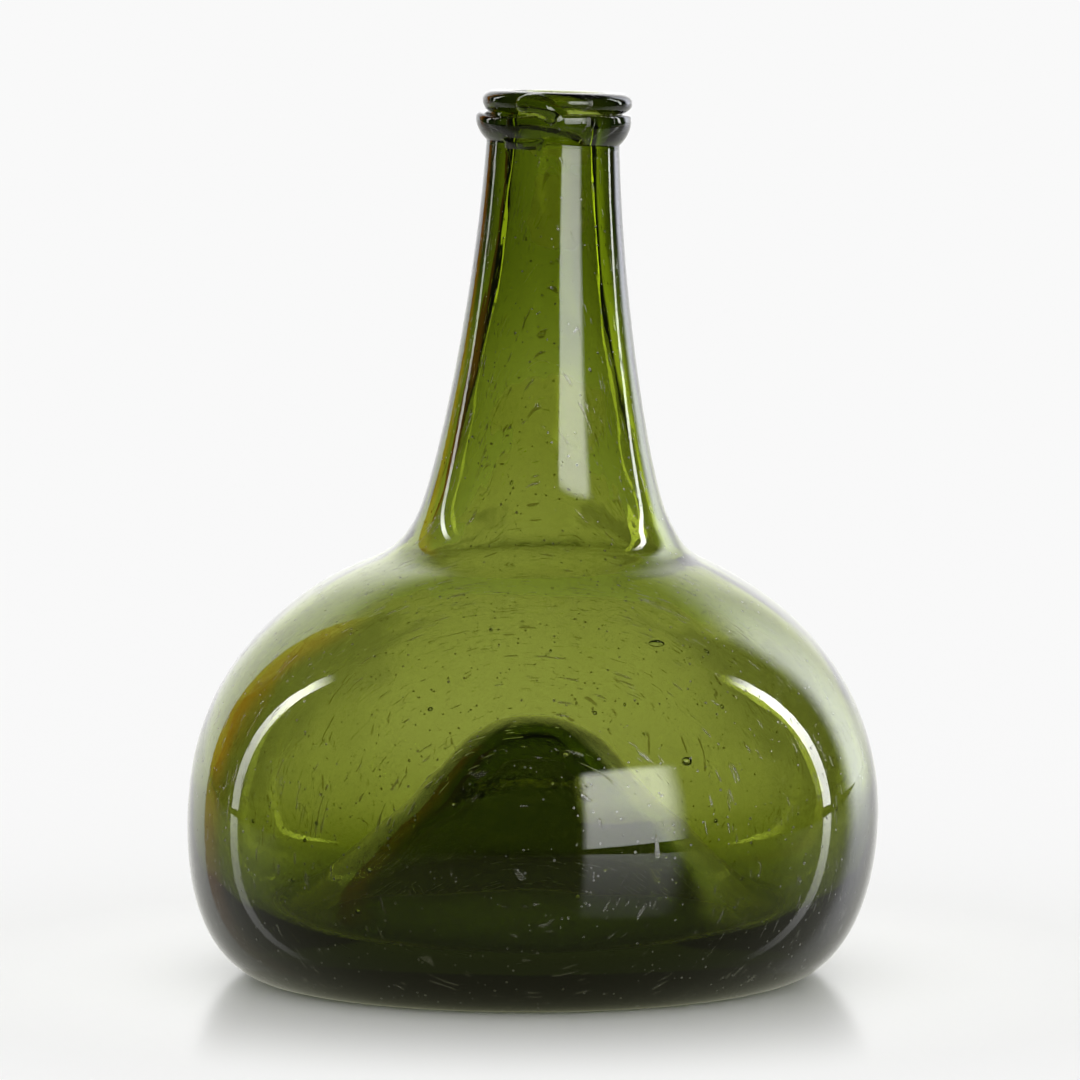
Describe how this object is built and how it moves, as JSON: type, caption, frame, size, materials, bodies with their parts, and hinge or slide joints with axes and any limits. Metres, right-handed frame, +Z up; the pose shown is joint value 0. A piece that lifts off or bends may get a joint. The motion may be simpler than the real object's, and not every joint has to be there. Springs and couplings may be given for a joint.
{
  "type": "glass bottle",
  "caption": "Free-blown green glass bottle with a squat round belly, deep kick-up, leaning tapered neck, wound string rim and open fire-polished lip.",
  "frame": {"origin": "centre of the bearing ring, on the surface that the bottle stands on", "axes": "+Z up through the belly towards the mouth; -Y towards the front, where the string rim laps over itself; +X towards the side that the neck leans to"},
  "size_m": [0.1502, 0.1502, 0.1915],
  "materials": {
    "green_glass": "olive green, fire-polished, with seeds and fine scratches",
    "rim_glass": "olive green, tooled and fire-polished",
    "scar_glass": "olive green, broken and chipped"
  },
  "bodies": {
    "root": {"bottle_body": "green_glass", "string_rim": "rim_glass", "pontil_scar": "scar_glass"}
  },
  "joints": []
}
